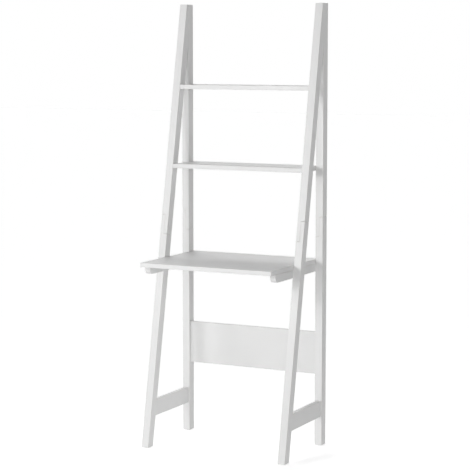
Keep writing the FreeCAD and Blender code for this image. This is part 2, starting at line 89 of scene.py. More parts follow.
# %% [markdown]
# ## The surround
#
# White furniture on white needs soft light that still tells one face from the next. A faint
# even surround lights every face a little, so that none goes dark.
#
# The surround is as bright as white paper only where the camera, a reflection or a
# transparent thing sees it. As a light it is far dimmer, so that the paint keeps its own tone.
# The same three rays are wanted again for the floor, so a small function picks them out.
#
# A node tree is quick to write with a few helpers: one for a sum on two values, and one that
# spreads a range of values out over another.

# %% Helpers for node trees
def emptied(owner):
    """An owner's node tree, without the nodes that Blender starts it with."""
    owner.use_nodes = True
    owner.node_tree.nodes.clear()
    return owner.node_tree


def math_node(tree, operation, first, second):
    """A Math node on two values, each of them a number or a socket."""
    node = tree.nodes.new("ShaderNodeMath")
    node.operation = operation
    for socket, value in zip(node.inputs, (first, second)):
        if isinstance(value, (int, float)):
            socket.default_value = value
        else:
            tree.links.new(value, socket)
    return node.outputs[0]


def spread_out(tree, value, limits, onto=(0, 1)):
    """A Map Range node: what lies between the limits is spread out over the second range."""
    node = tree.nodes.new("ShaderNodeMapRange")
    names = ("From Min", "From Max", "To Min", "To Max")
    for name, number in zip(names, (*limits, *onto)):
        node.inputs[name].default_value = number
    tree.links.new(value, node.inputs["Value"])
    return node.outputs["Result"]


def rays_that_see_paper(tree):
    path = tree.nodes.new("ShaderNodeLightPath").outputs
    first_two = math_node(tree, "MAXIMUM", path["Is Camera Ray"], path["Is Glossy Ray"])
    return math_node(tree, "MAXIMUM", first_two, path["Is Transmission Ray"])


# %% The surround
SURROUND_LIGHT = 0.05
WHITE = (1, 1, 1, 1)

world = bpy.data.worlds.new("surround")
scene.world = world
tree = emptied(world)
as_light = tree.nodes.new("ShaderNodeBackground")
as_light.inputs["Strength"].default_value = SURROUND_LIGHT
as_paper = tree.nodes.new("ShaderNodeBackground")
for background in (as_light, as_paper):
    background.inputs["Color"].default_value = WHITE
choice = tree.nodes.new("ShaderNodeMixShader")
output = tree.nodes.new("ShaderNodeOutputWorld")
tree.links.new(rays_that_see_paper(tree), choice.inputs["Fac"])
tree.links.new(as_light.outputs[0], choice.inputs[1])
tree.links.new(as_paper.outputs[0], choice.inputs[2])
tree.links.new(choice.outputs[0], output.inputs["Surface"])
print("surround as a light:", SURROUND_LIGHT, "as paper:", as_paper.inputs["Strength"].default_value)

# %% [markdown]
# ## The lamps
#
# A small key stands in front, to the left and above. From about two metres it draws the soft
# shadow of each leg on the panel and of the desktop on the post behind it, and the shadow of
# each leg slides off its own post. A broad cloth on the left gives the fronts more light than
# any other lamp. On the right a round softbox, a few steps away, and a weaker cloth fill the
# sides. Two cloths behind keep the boards and the back of the desk from going grey. They are
# hidden from reflections, so they put no glare on the boards.
#
# The cloths are suns, which are as strong on the far post as on the near leg. The strength of
# a softbox is given as what it does to a face at its aim, so that all can be compared: a disc
# needs pi times the square of its distance to do the same as a sun of one.

# %% Helpers for lamps
AIM = Vector((0, 0, 0.7))


def aimed(data, from_left, from_above, distance=0.0):
    """Hangs a lamp some degrees to the left, or with a minus to the right, turned to the aim."""
    lamp = bpy.data.objects.new(data.name, data)
    turn, rise = math.radians(from_left), math.radians(from_above)
    level = math.cos(rise)
    away = Vector((-math.sin(turn) * level, -math.cos(turn) * level, math.sin(rise)))
    lamp.location = AIM + away * distance
    lamp.rotation_euler = away.to_track_quat("Z", "Y").to_euler()
    scene.collection.objects.link(lamp)
    print(lamp.name, "energy:", round(data.energy, 2))
    return lamp


def sun(name, from_left, from_above, spread, strength):
    data = bpy.data.lights.new(name, "SUN")
    data.angle = math.radians(spread)
    data.energy = strength
    return aimed(data, from_left, from_above)


def softbox(name, from_left, from_above, distance, width, strength):
    data = bpy.data.lights.new(name, "AREA")
    data.shape = "DISK"
    data.size = width
    data.energy = strength * math.pi * distance ** 2
    return aimed(data, from_left, from_above, distance)


# %% The lamps
softbox("key", from_left=21, from_above=19.5, distance=2.2, width=0.35, strength=0.65)
sun("left_cloth", from_left=50, from_above=12, spread=40, strength=1.30)
softbox("right_softbox", from_left=-25, from_above=6, distance=3.5, width=2.4, strength=0.58)
sun("right_cloth", from_left=-60, from_above=12, spread=40, strength=0.65)
behind = [
    sun("behind_low", from_left=180, from_above=10, spread=40, strength=0.92),
    sun("behind_high", from_left=140, from_above=55, spread=20, strength=0.91),
]
for lamp in behind:
    lamp.visible_glossy = False

# %% [markdown]
# ## The floor
#
# The floor is pale and matt. A little light of its own brings it up to white for the camera,
# so it runs into the background with no horizon and still shows the desk's shadow. Round the
# desk it also gives light back, most in the middle, as the lit middle of a studio floor does:
# that is why the lower ends of the legs are a little brighter than the upper ones.

# %% The floor
FLOOR_SIDE = 60.0
FLOOR_TONE = 0.80

bpy.ops.object.select_all(action="DESELECT")
bpy.ops.mesh.primitive_plane_add(size=FLOOR_SIDE, location=(0, 0, 0))
floor = bpy.context.active_object
floor.name = "floor"
paper = bpy.data.materials.new("floor_paper")
tree = emptied(paper)
matt = tree.nodes.new("ShaderNodeBsdfDiffuse")
matt.inputs["Color"].default_value = (FLOOR_TONE, FLOOR_TONE, FLOOR_TONE, 1)
floor.data.materials.append(paper)
print("floor:", FLOOR_SIDE, "m on a side")

# %% The floor's own light
FLOOR_LIFT = 0.62
GLOW = 0.276
GLOW_FULL_WITHIN = 0.2
GLOW_ENDS_AT = 2.0

coordinates = tree.nodes.new("ShaderNodeTexCoord")
from_middle = tree.nodes.new("ShaderNodeVectorMath")
from_middle.operation = "LENGTH"
strength = tree.nodes.new("ShaderNodeMix")
strength.data_type = "FLOAT"
strength.inputs["B"].default_value = FLOOR_LIFT
light = tree.nodes.new("ShaderNodeEmission")
both = tree.nodes.new("ShaderNodeAddShader")
output = tree.nodes.new("ShaderNodeOutputMaterial")
tree.links.new(coordinates.outputs["Object"], from_middle.inputs[0])
distance = from_middle.outputs["Value"]
glow = spread_out(tree, distance, (GLOW_ENDS_AT, GLOW_FULL_WITHIN), (0, GLOW))
tree.links.new(rays_that_see_paper(tree), strength.inputs["Factor"])
tree.links.new(glow, strength.inputs["A"])
tree.links.new(strength.outputs["Result"], light.inputs["Strength"])
tree.links.new(matt.outputs[0], both.inputs[0])
tree.links.new(light.outputs[0], both.inputs[1])
tree.links.new(both.outputs[0], output.inputs["Surface"])
print("floor glows", GLOW, "in the middle and 0 from", GLOW_ENDS_AT, "m out")

# %% [markdown]
# ## Shader groups
#
# Paint on wood is never quite even. Three effects make it look like paint and are used by
# more than one finish, so each is a group with a named input and outputs, built once:
#
# - fibres: the grain of the timber, which the paint sinks into a little along its length;
# - roller stipple: the fine orange peel that a roller leaves on boards;
# - handling: broad, faint changes of tone and gloss, as every hand-finished surface has.
#
# A group only puts out values that vary over the surface. The shader stays in the material.
# Noise seldom strays far from one half, so the range that it does fill is spread out.

# %% Helpers for groups
MIDDLE_OF_NOISE = (0.35, 0.65)


def new_group(name, *outputs):
    """A group that is given a place, as Vector, and puts out the named values."""
    tree = bpy.data.node_groups.new(name, "ShaderNodeTree")
    tree.interface.new_socket(name="Vector", in_out="INPUT", socket_type="NodeSocketVector")
    for socket in outputs:
        tree.interface.new_socket(name=socket, in_out="OUTPUT", socket_type="NodeSocketFloat")
    place = tree.nodes.new("NodeGroupInput").outputs["Vector"]
    return tree, place, tree.nodes.new("NodeGroupOutput").inputs


def noise(tree, place, scale, detail):
    node = tree.nodes.new("ShaderNodeTexNoise")
    node.inputs["Scale"].default_value = scale
    node.inputs["Detail"].default_value = detail
    tree.links.new(place, node.inputs["Vector"])
    return node.outputs["Fac"]


def plus(tree, first, second):
    return math_node(tree, "ADD", first, second)


def times(tree, first, second):
    return math_node(tree, "MULTIPLY", first, second)


# %% The fibres
FIBRES_ACROSS = 420.0
FIBRES_ALONG = 7.0
PEAKS_OF_NOISE = (0.52, 0.70)

fibres, place, result = new_group("fibres_under_paint", "Height", "Tone")
stretch = fibres.nodes.new("ShaderNodeMapping")
stretch.inputs["Scale"].default_value = (FIBRES_ACROSS, FIBRES_ACROSS, FIBRES_ALONG)
fibres.links.new(place, stretch.inputs["Vector"])
along = stretch.outputs["Vector"]
pores = spread_out(fibres, noise(fibres, along, scale=1.0, detail=3.0), PEAKS_OF_NOISE)
bands = spread_out(fibres, noise(fibres, along, scale=0.22, detail=2.0), MIDDLE_OF_NOISE)
dents = times(fibres, pores, bands)
fibres.links.new(dents, result["Tone"])
fibres.links.new(math_node(fibres, "SUBTRACT", 1.0, dents), result["Height"])
print(fibres.name, "nodes:", len(fibres.nodes))

# %% The roller stipple
STIPPLE = 950.0
FINE_SHARE = 0.7
COARSE_SHARE = 0.3

stipple, place, result = new_group("roller_stipple", "Height")
fine = noise(stipple, place, scale=STIPPLE, detail=1.0)
coarse = noise(stipple, place, scale=STIPPLE / 4, detail=1.0)
stipple.links.new(plus(
    stipple,
    spread_out(stipple, fine, MIDDLE_OF_NOISE, (0, FINE_SHARE)),
    spread_out(stipple, coarse, MIDDLE_OF_NOISE, (0, COARSE_SHARE)),
), result["Height"])
print(stipple.name, "nodes:", len(stipple.nodes))

# %% The handling
handling, place, result = new_group("handling", "Tone", "Gloss")
clouds = noise(handling, place, scale=9.0, detail=4.0)
smears = noise(handling, place, scale=34.0, detail=3.0)
handling.links.new(spread_out(handling, clouds, MIDDLE_OF_NOISE), result["Tone"])
handling.links.new(spread_out(handling, smears, MIDDLE_OF_NOISE), result["Gloss"])
print(handling.name, "nodes:", len(handling.nodes))

# %% [markdown]
# ## The paint on the timbers
#
# The timbers are sprayed with white satin paint. The grain runs along each timber, so the
# pattern is turned to lie along it: upright on the posts, leaning on the legs, and level from
# front to back on the stretchers and bearers. A Mapping node does that before the groups. The
# stipple comes in weakly here, as the fine skin that a spray leaves.
#
# On a sanded arris the paint is drawn thin by its own surface and shows a trace of the warm
# wood below. The arris faces carry an attribute called arris, which masks that.

# %% Helpers for materials
# A Mix node has sockets for each kind of data. These are the numbers of its colour sockets.
FIRST_COLOUR, SECOND_COLOUR, MIXED_COLOUR = 6, 7, 2


def new_material(name):
    material = bpy.data.materials.new(name)
    material.use_nodes = True
    return material, material.node_tree, material.node_tree.nodes["Principled BSDF"]


def place_on(tree, turn=(0, 0, 0)):
    """Where a point lies on its piece, turned so that the grain runs along Z."""
    coordinates = tree.nodes.new("ShaderNodeTexCoord")
    mapping = tree.nodes.new("ShaderNodeMapping")
    mapping.inputs["Rotation"].default_value = turn
    tree.links.new(coordinates.outputs["Object"], mapping.inputs["Vector"])
    return mapping.outputs["Vector"]


def with_group(tree, group, place):
    """A shader group, placed in a material: what it puts out."""
    node = tree.nodes.new("ShaderNodeGroup")
    node.node_tree = group
    tree.links.new(place, node.inputs["Vector"])
    return node.outputs


def colour_mix(tree, factor, first, second):
    """A mix of two colours, each of them written out or a socket."""
    node = tree.nodes.new("ShaderNodeMix")
    node.data_type = "RGBA"
    tree.links.new(factor, node.inputs["Factor"])
    for number, value in ((FIRST_COLOUR, first), (SECOND_COLOUR, second)):
        if isinstance(value, tuple):
            node.inputs[number].default_value = (*value, 1)
        else:
            tree.links.new(value, node.inputs[number])
    return node.outputs[MIXED_COLOUR]


def bumped(tree, shader, height, depth, strength):
    bump = tree.nodes.new("ShaderNodeBump")
    bump.inputs["Strength"].default_value = strength
    bump.inputs["Distance"].default_value = depth
    tree.links.new(height, bump.inputs["Height"])
    tree.links.new(bump.outputs["Normal"], shader.inputs["Normal"])


# %% Paint that is thin on the arrises
PAINT = (0.800, 0.800, 0.797)
GRAIN_TONE = (0.765, 0.763, 0.757)
THIN_PAINT = (0.745, 0.728, 0.695)
WORN_PATCHES = (0.40, 0.66)
WEAR = (0.10, 0.60)


def lay_paint(tree, shader, place, tone, roughness, rougher_where_worn):
    """White that deepens with the tone, and is thin and rougher on the arrises."""
    arris = tree.nodes.new("ShaderNodeAttribute")
    arris.attribute_name = "arris"
    patches = noise(tree, place, scale=24.0, detail=2.0)
    worn = times(tree, arris.outputs["Fac"], spread_out(tree, patches, WORN_PATCHES, WEAR))
    colour = colour_mix(tree, tone, PAINT, GRAIN_TONE)
    tree.links.new(colour_mix(tree, worn, colour, THIN_PAINT), shader.inputs["Base Color"])
    roughness = plus(tree, roughness, times(tree, worn, rougher_where_worn))
    tree.links.new(roughness, shader.inputs["Roughness"])


# %% The paint
LEAN = math.radians(10.86)
UPRIGHT, LEANING, LEVEL = (0, 0, 0), (LEAN, 0, 0), (math.pi / 2, 0, 0)
WHOLE_RANGE = (0, 1)
FIBRES_IN_TONE = 0.55
HANDLING_IN_TONE = 0.22
SKIN_IN_HEIGHT = 0.35
SATIN_ROUGHNESS = (0.40, 0.50)


def paint_on_timber(name, turn):
    material, tree, shader = new_material(name)
    place = place_on(tree, turn)
    grain, hand, skin = (with_group(tree, group, place) for group in (fibres, handling, stipple))
    grain_tone = times(tree, grain["Tone"], FIBRES_IN_TONE)
    tone = plus(tree, grain_tone, times(tree, hand["Tone"], HANDLING_IN_TONE))
    roughness = spread_out(tree, hand["Gloss"], WHOLE_RANGE, SATIN_ROUGHNESS)
    lay_paint(tree, shader, place, tone, roughness, rougher_where_worn=0.08)
    height = plus(tree, grain["Height"], times(tree, skin["Height"], SKIN_IN_HEIGHT))
    bumped(tree, shader, height, depth=0.12 * MM, strength=0.55)
    return material


paint_upright = paint_on_timber("white_paint_upright_grain", UPRIGHT)
paint_leaning = paint_on_timber("white_paint_leaning_grain", LEANING)
paint_level = paint_on_timber("white_paint_level_grain", LEVEL)
print("paints:", paint_upright.name, paint_leaning.name, paint_level.name)

# %% [markdown]
# ## The paint on the boards
#
# The desktop, the shelves and the panel are fibreboard with a rolled and sanded white
# lacquer. They have no grain: only the fine stipple of the roller and the same faint handling.

# %% The lacquer
HANDLING_IN_LACQUER = 0.25
LACQUER_ROUGHNESS = (0.36, 0.46)


def paint_on_board(name):
    material, tree, shader = new_material(name)
    place = place_on(tree)
    hand, skin = (with_group(tree, group, place) for group in (handling, stipple))
    tone = times(tree, hand["Tone"], HANDLING_IN_LACQUER)
    roughness = spread_out(tree, hand["Gloss"], WHOLE_RANGE, LACQUER_ROUGHNESS)
    lay_paint(tree, shader, place, tone, roughness, rougher_where_worn=0.06)
    bumped(tree, shader, skin["Height"], depth=0.10 * MM, strength=0.45)
    return material


lacquer = paint_on_board("white_lacquer_on_board")
print("lacquer:", lacquer.name)

# %% [markdown]
# ## Metal, wood and plastic of the hardware
#
# The screws, bolts and cross dowels are zinc plated: bright, slightly blue and never quite
# even. The threaded inserts are turned brass. The dowels are bare beech with short dark
# flecks. The caps and glides are moulded, so they are smooth with a faint grain of the mould.
#
# Metal and plastic are made alike: soft patches of two tones, and a fine skin that varies the
# gloss and raises a faint bump.

# %% The metals
PLATING_PATCHES = (0.38, 0.66)
MOST_OF_NOISE = (0.3, 0.7)


def two_toned(tree, shader, patches, colours, skin, roughness):
    tree.links.new(colour_mix(tree, patches, *colours), shader.inputs["Base Color"])
    tree.links.new(spread_out(tree, skin, MOST_OF_NOISE, roughness), shader.inputs["Roughness"])


def plated(name, bright, dull, roughness):
    material, tree, shader = new_material(name)
    shader.inputs["Metallic"].default_value = 1.0
    place = place_on(tree)
    patches = spread_out(tree, noise(tree, place, scale=260.0, detail=4.0), PLATING_PATCHES)
    scratches = noise(tree, place, scale=2400.0, detail=2.0)
    two_toned(tree, shader, patches, (bright, dull), scratches, roughness)
    bumped(tree, shader, scratches, depth=0.02 * MM, strength=0.4)
    return material


zinc = plated(
    "zinc_plating", bright=(0.62, 0.63, 0.65), dull=(0.50, 0.51, 0.53), roughness=(0.34, 0.48),
)
turned_brass = plated(
    "turned_brass", bright=(0.71, 0.56, 0.29), dull=(0.60, 0.45, 0.22), roughness=(0.24, 0.38),
)
print("metals:", zinc.name, turned_brass.name)

# %% The beech
BEECH = (0.72, 0.55, 0.38)
BEECH_FLECKS = (0.52, 0.36, 0.22)
BEECH_ROUGHNESS = (0.60, 0.75)


def bare_beech(name):
    material, tree, shader = new_material(name)
    grain = with_group(tree, fibres, place_on(tree, LEVEL))
    colour = colour_mix(tree, grain["Tone"], BEECH, BEECH_FLECKS)
    roughness = spread_out(tree, grain["Tone"], WHOLE_RANGE, BEECH_ROUGHNESS)
    tree.links.new(colour, shader.inputs["Base Color"])
    tree.links.new(roughness, shader.inputs["Roughness"])
    bumped(tree, shader, grain["Height"], depth=0.15 * MM, strength=0.6)
    return material


beech = bare_beech("bare_beech")
print("wood of the dowels:", beech.name)

# %% The plastics
def moulded(name, pale, deep, roughness):
    material, tree, shader = new_material(name)
    place = place_on(tree)
    clouds = spread_out(tree, noise(tree, place, scale=90.0, detail=3.0), MIDDLE_OF_NOISE)
    grain = noise(tree, place, scale=1800.0, detail=1.0)
    two_toned(tree, shader, clouds, (pale, deep), grain, roughness)
    bumped(tree, shader, grain, depth=0.04 * MM, strength=0.5)
    return material


cap_plastic = moulded(
    "white_cap_plastic", pale=(0.800, 0.800, 0.795), deep=(0.780, 0.780, 0.775),
    roughness=(0.40, 0.48),
)
glide_plastic = moulded(
    "pale_glide_plastic", pale=(0.70, 0.70, 0.68), deep=(0.65, 0.65, 0.63),
    roughness=(0.46, 0.54),
)
print("materials:", sorted(m.name for m in bpy.data.materials))

# %% [markdown]
# ## Sanded arrises
#
# A timber leaves the saw with sharp edges and gets them sanded off, so that paint holds on
# them. The CAD timbers have a small flat on each edge. Here a copy of each timber and board
# gets those flats rounded: its loose triangles are merged, flat areas become one face again,
# and each convex edge is bevelled once more by a few tenths of a millimetre.
#
# With normals weighted by area, the big faces stay dead flat and all of the bend lies in the
# arris, where it catches the light as a thin soft line.

# %% Helpers for edit mode
def only(piece):
    bpy.ops.object.select_all(action="DESELECT")
    piece.select_set(True)
    bpy.context.view_layer.objects.active = piece


def edit(piece, select_mode="VERT"):
    """Into edit mode with nothing selected."""
    only(piece)
    bpy.ops.object.mode_set(mode="EDIT")
    bpy.ops.mesh.select_mode(type=select_mode)
    bpy.ops.mesh.select_all(action="DESELECT")
    return bmesh.from_edit_mesh(piece.data)


def edit_all(piece):
    """Into edit mode with everything selected."""
    edit(piece)
    bpy.ops.mesh.select_all(action="SELECT")


def done(piece):
    bpy.ops.object.mode_set(mode="OBJECT")
    return piece


# %% The copy of a timber
SAME_POINT = 0.001 * MM
EVEN_PLANE = math.radians(0.5)


def copy_of_node(node, name):
    piece = bpy.data.objects.new(name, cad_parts[node].data.copy())
    scene.collection.objects.link(piece)
    edit_all(piece)
    bpy.ops.mesh.remove_doubles(threshold=SAME_POINT)
    bpy.ops.mesh.dissolve_limited(angle_limit=EVEN_PLANE)
    return done(piece)


# %% The arrises
SHARP = math.radians(40)
ARRIS_WIDTH = 1.6 * MM


def round_edges(piece, offset, segments):
    """Bevels every edge that stands out and is sharp."""
    mesh = edit(piece, "EDGE")
    for edge in mesh.edges:
        if edge.is_manifold and edge.is_convex and edge.calc_face_angle() > SHARP:
            edge.select = True
    bmesh.update_edit_mesh(piece.data)
    bpy.ops.mesh.bevel(offset=offset, segments=segments, profile=0.5, clamp_overlap=True)
    return done(piece)


def mark_arrises(piece):
    """Sets the attribute arris to one on each face that is narrow and long."""
    mesh = piece.data
    attribute = mesh.attributes.new("arris", "FLOAT", "FACE")
    for face in mesh.polygons:
        corners = [mesh.vertices[v].co for v in face.vertices]
        longest = max((a - b).length for a, b in zip(corners, corners[1:] + corners[:1]))
        is_arris = face.area / longest < ARRIS_WIDTH < longest / 2
        attribute.data[face.index].value = float(is_arris)


# %% Shading and finishing
STILL_SMOOTH = math.radians(60)


def shade(piece, angle=STILL_SMOOTH):
    only(piece)
    bpy.ops.object.shade_smooth_by_angle(angle=angle)
    weighted = piece.modifiers.new("weighted", "WEIGHTED_NORMAL")
    weighted.keep_sharp = True
    bpy.ops.object.modifier_apply(modifier=weighted.name)
    return piece


def finish_piece(piece, material, slot, *replaced):
    piece.data.materials.clear()
    piece.data.materials.append(material)
    for face in piece.data.polygons:
        face.material_index = 0
    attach(piece, "root")
    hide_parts(*replaced)
    return piece


# %% [markdown]
# ## Where each fastener sits
#
# A node that holds a set of fasteners is one mesh with many separate solids. To put a modelled
# fastener in the place of each, the solids are told apart: corners joined by edges belong to
# one solid, and its lowest and highest corner give the place.
#
# Each fastener also has a way out of the wood: the direction in which its head, its slotted
# end or its crown faces. The apex screws and the panel's cross dowels face back. The desktop's
# screws, the shelves' cross dowels and the glides face down. The caps face sideways: outwards
# on the frames' outer faces, and inwards on the inner ones.

# %% The solids in a node
def solids_in(node):
    """The lowest and the highest corner of each separate solid."""
    mesh = bmesh.new()
    mesh.from_mesh(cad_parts[node].data)
    bmesh.ops.remove_doubles(mesh, verts=mesh.verts, dist=SAME_POINT)
    left, boxes = set(mesh.verts), []
    while left:
        waiting, solid = [left.pop()], []
        while waiting:
            corner = waiting.pop()
            solid.append(corner.co.copy())
            for edge in corner.link_edges:
                other = edge.other_vert(corner)
                if other in left:
                    left.remove(other)
                    waiting.append(other)
        low = Vector(min(c[i] for c in solid) for i in range(3))
        high = Vector(max(c[i] for c in solid) for i in range(3))
        boxes.append((low, high))
    mesh.free()
    return sorted(boxes, key=lambda box: tuple(round(c, 5) for c in box[0]))


# %% The seat of each fastener
BACKWARDS = Vector((0, 1, 0))
DOWNWARDS = Vector((0, 0, -1))
WAY_OUT = {
    "apex_screws": BACKWARDS,
    "desktop_screws": DOWNWARDS,
    "shelf_barrel_nuts": DOWNWARDS,
    "panel_barrel_nuts": BACKWARDS,
    "foot_glides": DOWNWARDS,
}
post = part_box("right_rear_post_lower")
POST_MIDDLE = (post[0].x + post[1].x) / 2


def way_out(node, middle):
    """Out of the wood. The caps' way depends on the face of the frame that they are in."""
    if node in WAY_OUT:
        return WAY_OUT[node]
    side = math.copysign(1, middle.x)
    on_outer_face = abs(middle.x) > POST_MIDDLE
    return Vector((side if on_outer_face else -side, 0, 0))


def seats(node):
    """Of each solid: the middle of its outer end, the way out of the wood, and its length."""
    found = []
    for low, high in solids_in(node):
        middle = (low + high) / 2
        out = way_out(node, middle)
        length = abs((high - low).dot(out))
        found.append((middle + out * length / 2, out, length))
    return found


for node in ("cover_caps", *WAY_OUT):
    print(node, len(seats(node)), "places")

# %% Copies in their places
def stood_at(master, name, foot, direction):
    """A copy with its foot at a point and its top in a direction."""
    piece = master.copy()
    piece.data = master.data.copy()
    piece.name = name
    scene.collection.objects.link(piece)
    turn = direction.to_track_quat("Z", "Y").to_matrix().to_4x4()
    piece.data.transform(Matrix.Translation(foot) @ turn)
    return piece


def joined(pieces, name):
    only(pieces[0])
    for piece in pieces:
        piece.select_set(True)
    bpy.ops.object.join()
    group = bpy.context.active_object
    group.name = name
    return group


# %% [markdown]
# ## Round holes
#
# The holes that show are drilled before painting: a counterbore for each cap, a sunk hole for
# each screw head, and a blind hole for each cross dowel. In the CAD solids these holes have
# flat sides, to keep the solids light. A round bar a little wider than the CAD hole is taken
# away at each place, which leaves the round wall of a drill.
#
# One cutter holds all the bars of a kind, so each board or timber is cut once for each kind.

# %% Cutting and joining solids
def combined(piece, other, operation, keep=False):
    only(piece)
    boolean = piece.modifiers.new("combined", "BOOLEAN")
    boolean.operation = operation
    boolean.object = other
    bpy.ops.object.modifier_apply(modifier=boolean.name)
    if not keep:
        bpy.data.objects.remove(other)
    return piece


def cut(piece, cutter, keep=False):
    return combined(piece, cutter, "DIFFERENCE", keep)


def united(piece, other):
    return combined(piece, other, "UNION")


def merged(piece):
    """Merges the corners that a cut has left in one place, and with them faces of no size."""
    edit_all(piece)
    bpy.ops.mesh.remove_doubles(threshold=SAME_POINT)
    return done(piece)


# %% The drills
HOLE_SIDES = 48
PAST_THE_FACE = 12.0 * MM
CLEAN_BOTTOM = 0.02 * MM


def drill_bars(node, radius, depth):
    """Bars that reach from a depth below each fastener's outer end to outside the wood."""
    bars = []
    length = depth + CLEAN_BOTTOM + PAST_THE_FACE
    for end, out, _ in seats(node):
        middle = end + out * (PAST_THE_FACE - length / 2)
        bpy.ops.object.select_all(action="DESELECT")
        bpy.ops.mesh.primitive_cylinder_add(
            vertices=HOLE_SIDES, radius=radius, depth=length,
            location=middle, rotation=out.to_track_quat("Z", "Y").to_euler(),
        )
        bars.append(bpy.context.active_object)
        bpy.ops.object.transform_apply(location=True, rotation=True)
    return joined(bars, node + "_drill")


# %% The kinds of hole
# Each kind has a radius and a depth.
CAP_HOLE = (6.65 * MM, 5.8 * MM)
HEAD_HOLE = (4.55 * MM, 2.4 * MM)
CROSS_DOWEL_HOLE = (5.15 * MM, 12.0 * MM)
HOLES = {
    "cover_caps": CAP_HOLE,
    "apex_screws": HEAD_HOLE,
    "desktop_screws": HEAD_HOLE,
    "shelf_barrel_nuts": CROSS_DOWEL_HOLE,
    "panel_barrel_nuts": CROSS_DOWEL_HOLE,
}

drills = {node: drill_bars(node, radius, depth) for node, (radius, depth) in HOLES.items()}
for node, bars in drills.items():
    print(node, "cutter:", len(bars.data.polygons), "faces")

# %% [markdown]
# ## The timbers and the boards
#
# All sixteen go through the same bench: copy, drill, soften, mark, shade and paint. Only the
# holes and the paint differ, because the grain has to run along the timber.

# %% Timbers and boards
SOFTENING = 0.30 * MM
TIMBERS = {
    "front_leg_lower": (paint_leaning, ["cover_caps"]),
    "front_leg_upper": (paint_leaning, ["cover_caps"]),
    "rear_post_lower": (paint_upright, ["cover_caps"]),
    "rear_post_upper": (paint_upright, ["cover_caps", "apex_screws"]),
    "side_stretcher": (paint_level, []),
    "desk_bearer": (paint_level, ["desktop_screws"]),
}
BOARDS = {
    "desktop": [],
    "middle_shelf": ["shelf_barrel_nuts"],
    "upper_shelf": ["shelf_barrel_nuts"],
    "back_panel": ["panel_barrel_nuts"],
}


def sanded(node, material, slot, holes):
    piece = copy_of_node(node, node + "_sanded")
    for hole in holes:
        cut(piece, drills[hole], keep=True)
    round_edges(piece, SOFTENING, segments=2)
    mark_arrises(piece)
    shade(piece)
    print(piece.name, len(piece.data.polygons), "faces")
    return finish_piece(piece, material, slot, node)


for side in ("left", "right"):
    for timber, (material, holes) in TIMBERS.items():
        sanded(f"{side}_{timber}", material, "painted_frame", holes)
for board, holes in BOARDS.items():
    sanded(board, lacquer, "painted_board", holes)
for bars in drills.values():
    bpy.data.objects.remove(bars)

# %% [markdown]
# ## The cover caps
#
# Each bolt head is hidden by a push-in cap of white plastic, which lies almost flush. The cap
# is a thin disc with a rounded rim and a crown that rises only a fraction of a millimetre. It
# is modelled once, lying on the floor at the origin with its crown up: a cylinder whose top
# is inset in rings and lifted, and whose rim is bevelled.

# %% The cap
CAP_SIDES = 48
CAP_CROWN = 0.12 * MM
CROWN_RINGS = 4
RIM_ROUND = 0.35 * MM


def crown_at(ring):
    """How high the crown stands at a ring. The rings are counted from the rim."""
    return CAP_CROWN * math.sin(math.pi / 2 * ring / CROWN_RINGS)


def cap_master(radius, thickness):
    wall = thickness - CAP_CROWN
    bpy.ops.object.select_all(action="DESELECT")
    bpy.ops.mesh.primitive_cylinder_add(
        vertices=CAP_SIDES, radius=radius, depth=wall, location=(0, 0, wall / 2),
    )
    cap = bpy.context.active_object
    bpy.ops.object.transform_apply(location=True)
    mesh = edit(cap, "FACE")
    top = max(mesh.faces, key=lambda face: face.calc_center_median().z)
    top.select = True
    bmesh.update_edit_mesh(cap.data)
    for ring in range(1, CROWN_RINGS + 1):
        bpy.ops.mesh.inset(thickness=radius / (CROWN_RINGS + 2))
        bpy.ops.transform.translate(value=(0, 0, crown_at(ring) - crown_at(ring - 1)))
    return shade(round_edges(done(cap), RIM_ROUND, segments=3))


# %% Caps in their holes
def set_in(master, node, name, material, slot):
    """A copy at each seat, standing on the inner end of the seat's solid with its top outwards."""
    placed = [
        stood_at(master, f"{name}_{number}", end - out * length, out)
        for number, (end, out, length) in enumerate(seats(node), start=1)
    ]
    bpy.data.objects.remove(master)
    print(name, len(placed))
    return finish_piece(joined(placed, name), material, slot, node)


low, high = solids_in("cover_caps")[0]
cap = cap_master(radius=(high.z - low.z) / 2, thickness=high.x - low.x)
set_in(cap, "cover_caps", "round_cover_caps", cap_plastic, "white_cap")

# %% [markdown]
# ## Cross-headed screws
#
# Two screws at each top end hold the leg against the post, and three in each bearer hold the
# desktop. Their heads are sunk, and they show from behind and from below. A screw is turned
# from one outline: the flat head, the cone under it, the shank and the point. The thread is a
# small three-cornered ridge that a Screw modifier winds round the lower part of the shank, and
# the cross is sunk into the head with a cutter.

# %% The turned outline
TURNED_SIDES = 32
METAL_EDGE = math.radians(30)


def outline_piece(name, points, edges):
    mesh = bpy.data.meshes.new(name)
    mesh.from_pydata([(r, 0, h) for r, h in points], edges, [])
    piece = bpy.data.objects.new(name, mesh)
    scene.collection.objects.link(piece)
    return piece


def turned(name, outline):
    """A closed solid: (radius, height) points from the axis at one end to the axis at the other."""
    piece = outline_piece(name, outline, [(i, i + 1) for i in range(len(outline) - 1)])
    edit_all(piece)
    bpy.ops.mesh.spin(steps=TURNED_SIDES, angle=math.tau, center=(0, 0, 0), axis=(0, 0, 1))
    bpy.ops.mesh.select_all(action="SELECT")
    bpy.ops.mesh.remove_doubles(threshold=SAME_POINT)
    bpy.ops.mesh.normals_make_consistent(inside=False)
    return done(piece)


# %% The thread
RIDGE_STEPS = 20
ROOT_IN_CORE = 0.15 * MM
RIDGE_SHARE_OF_PITCH = 0.5


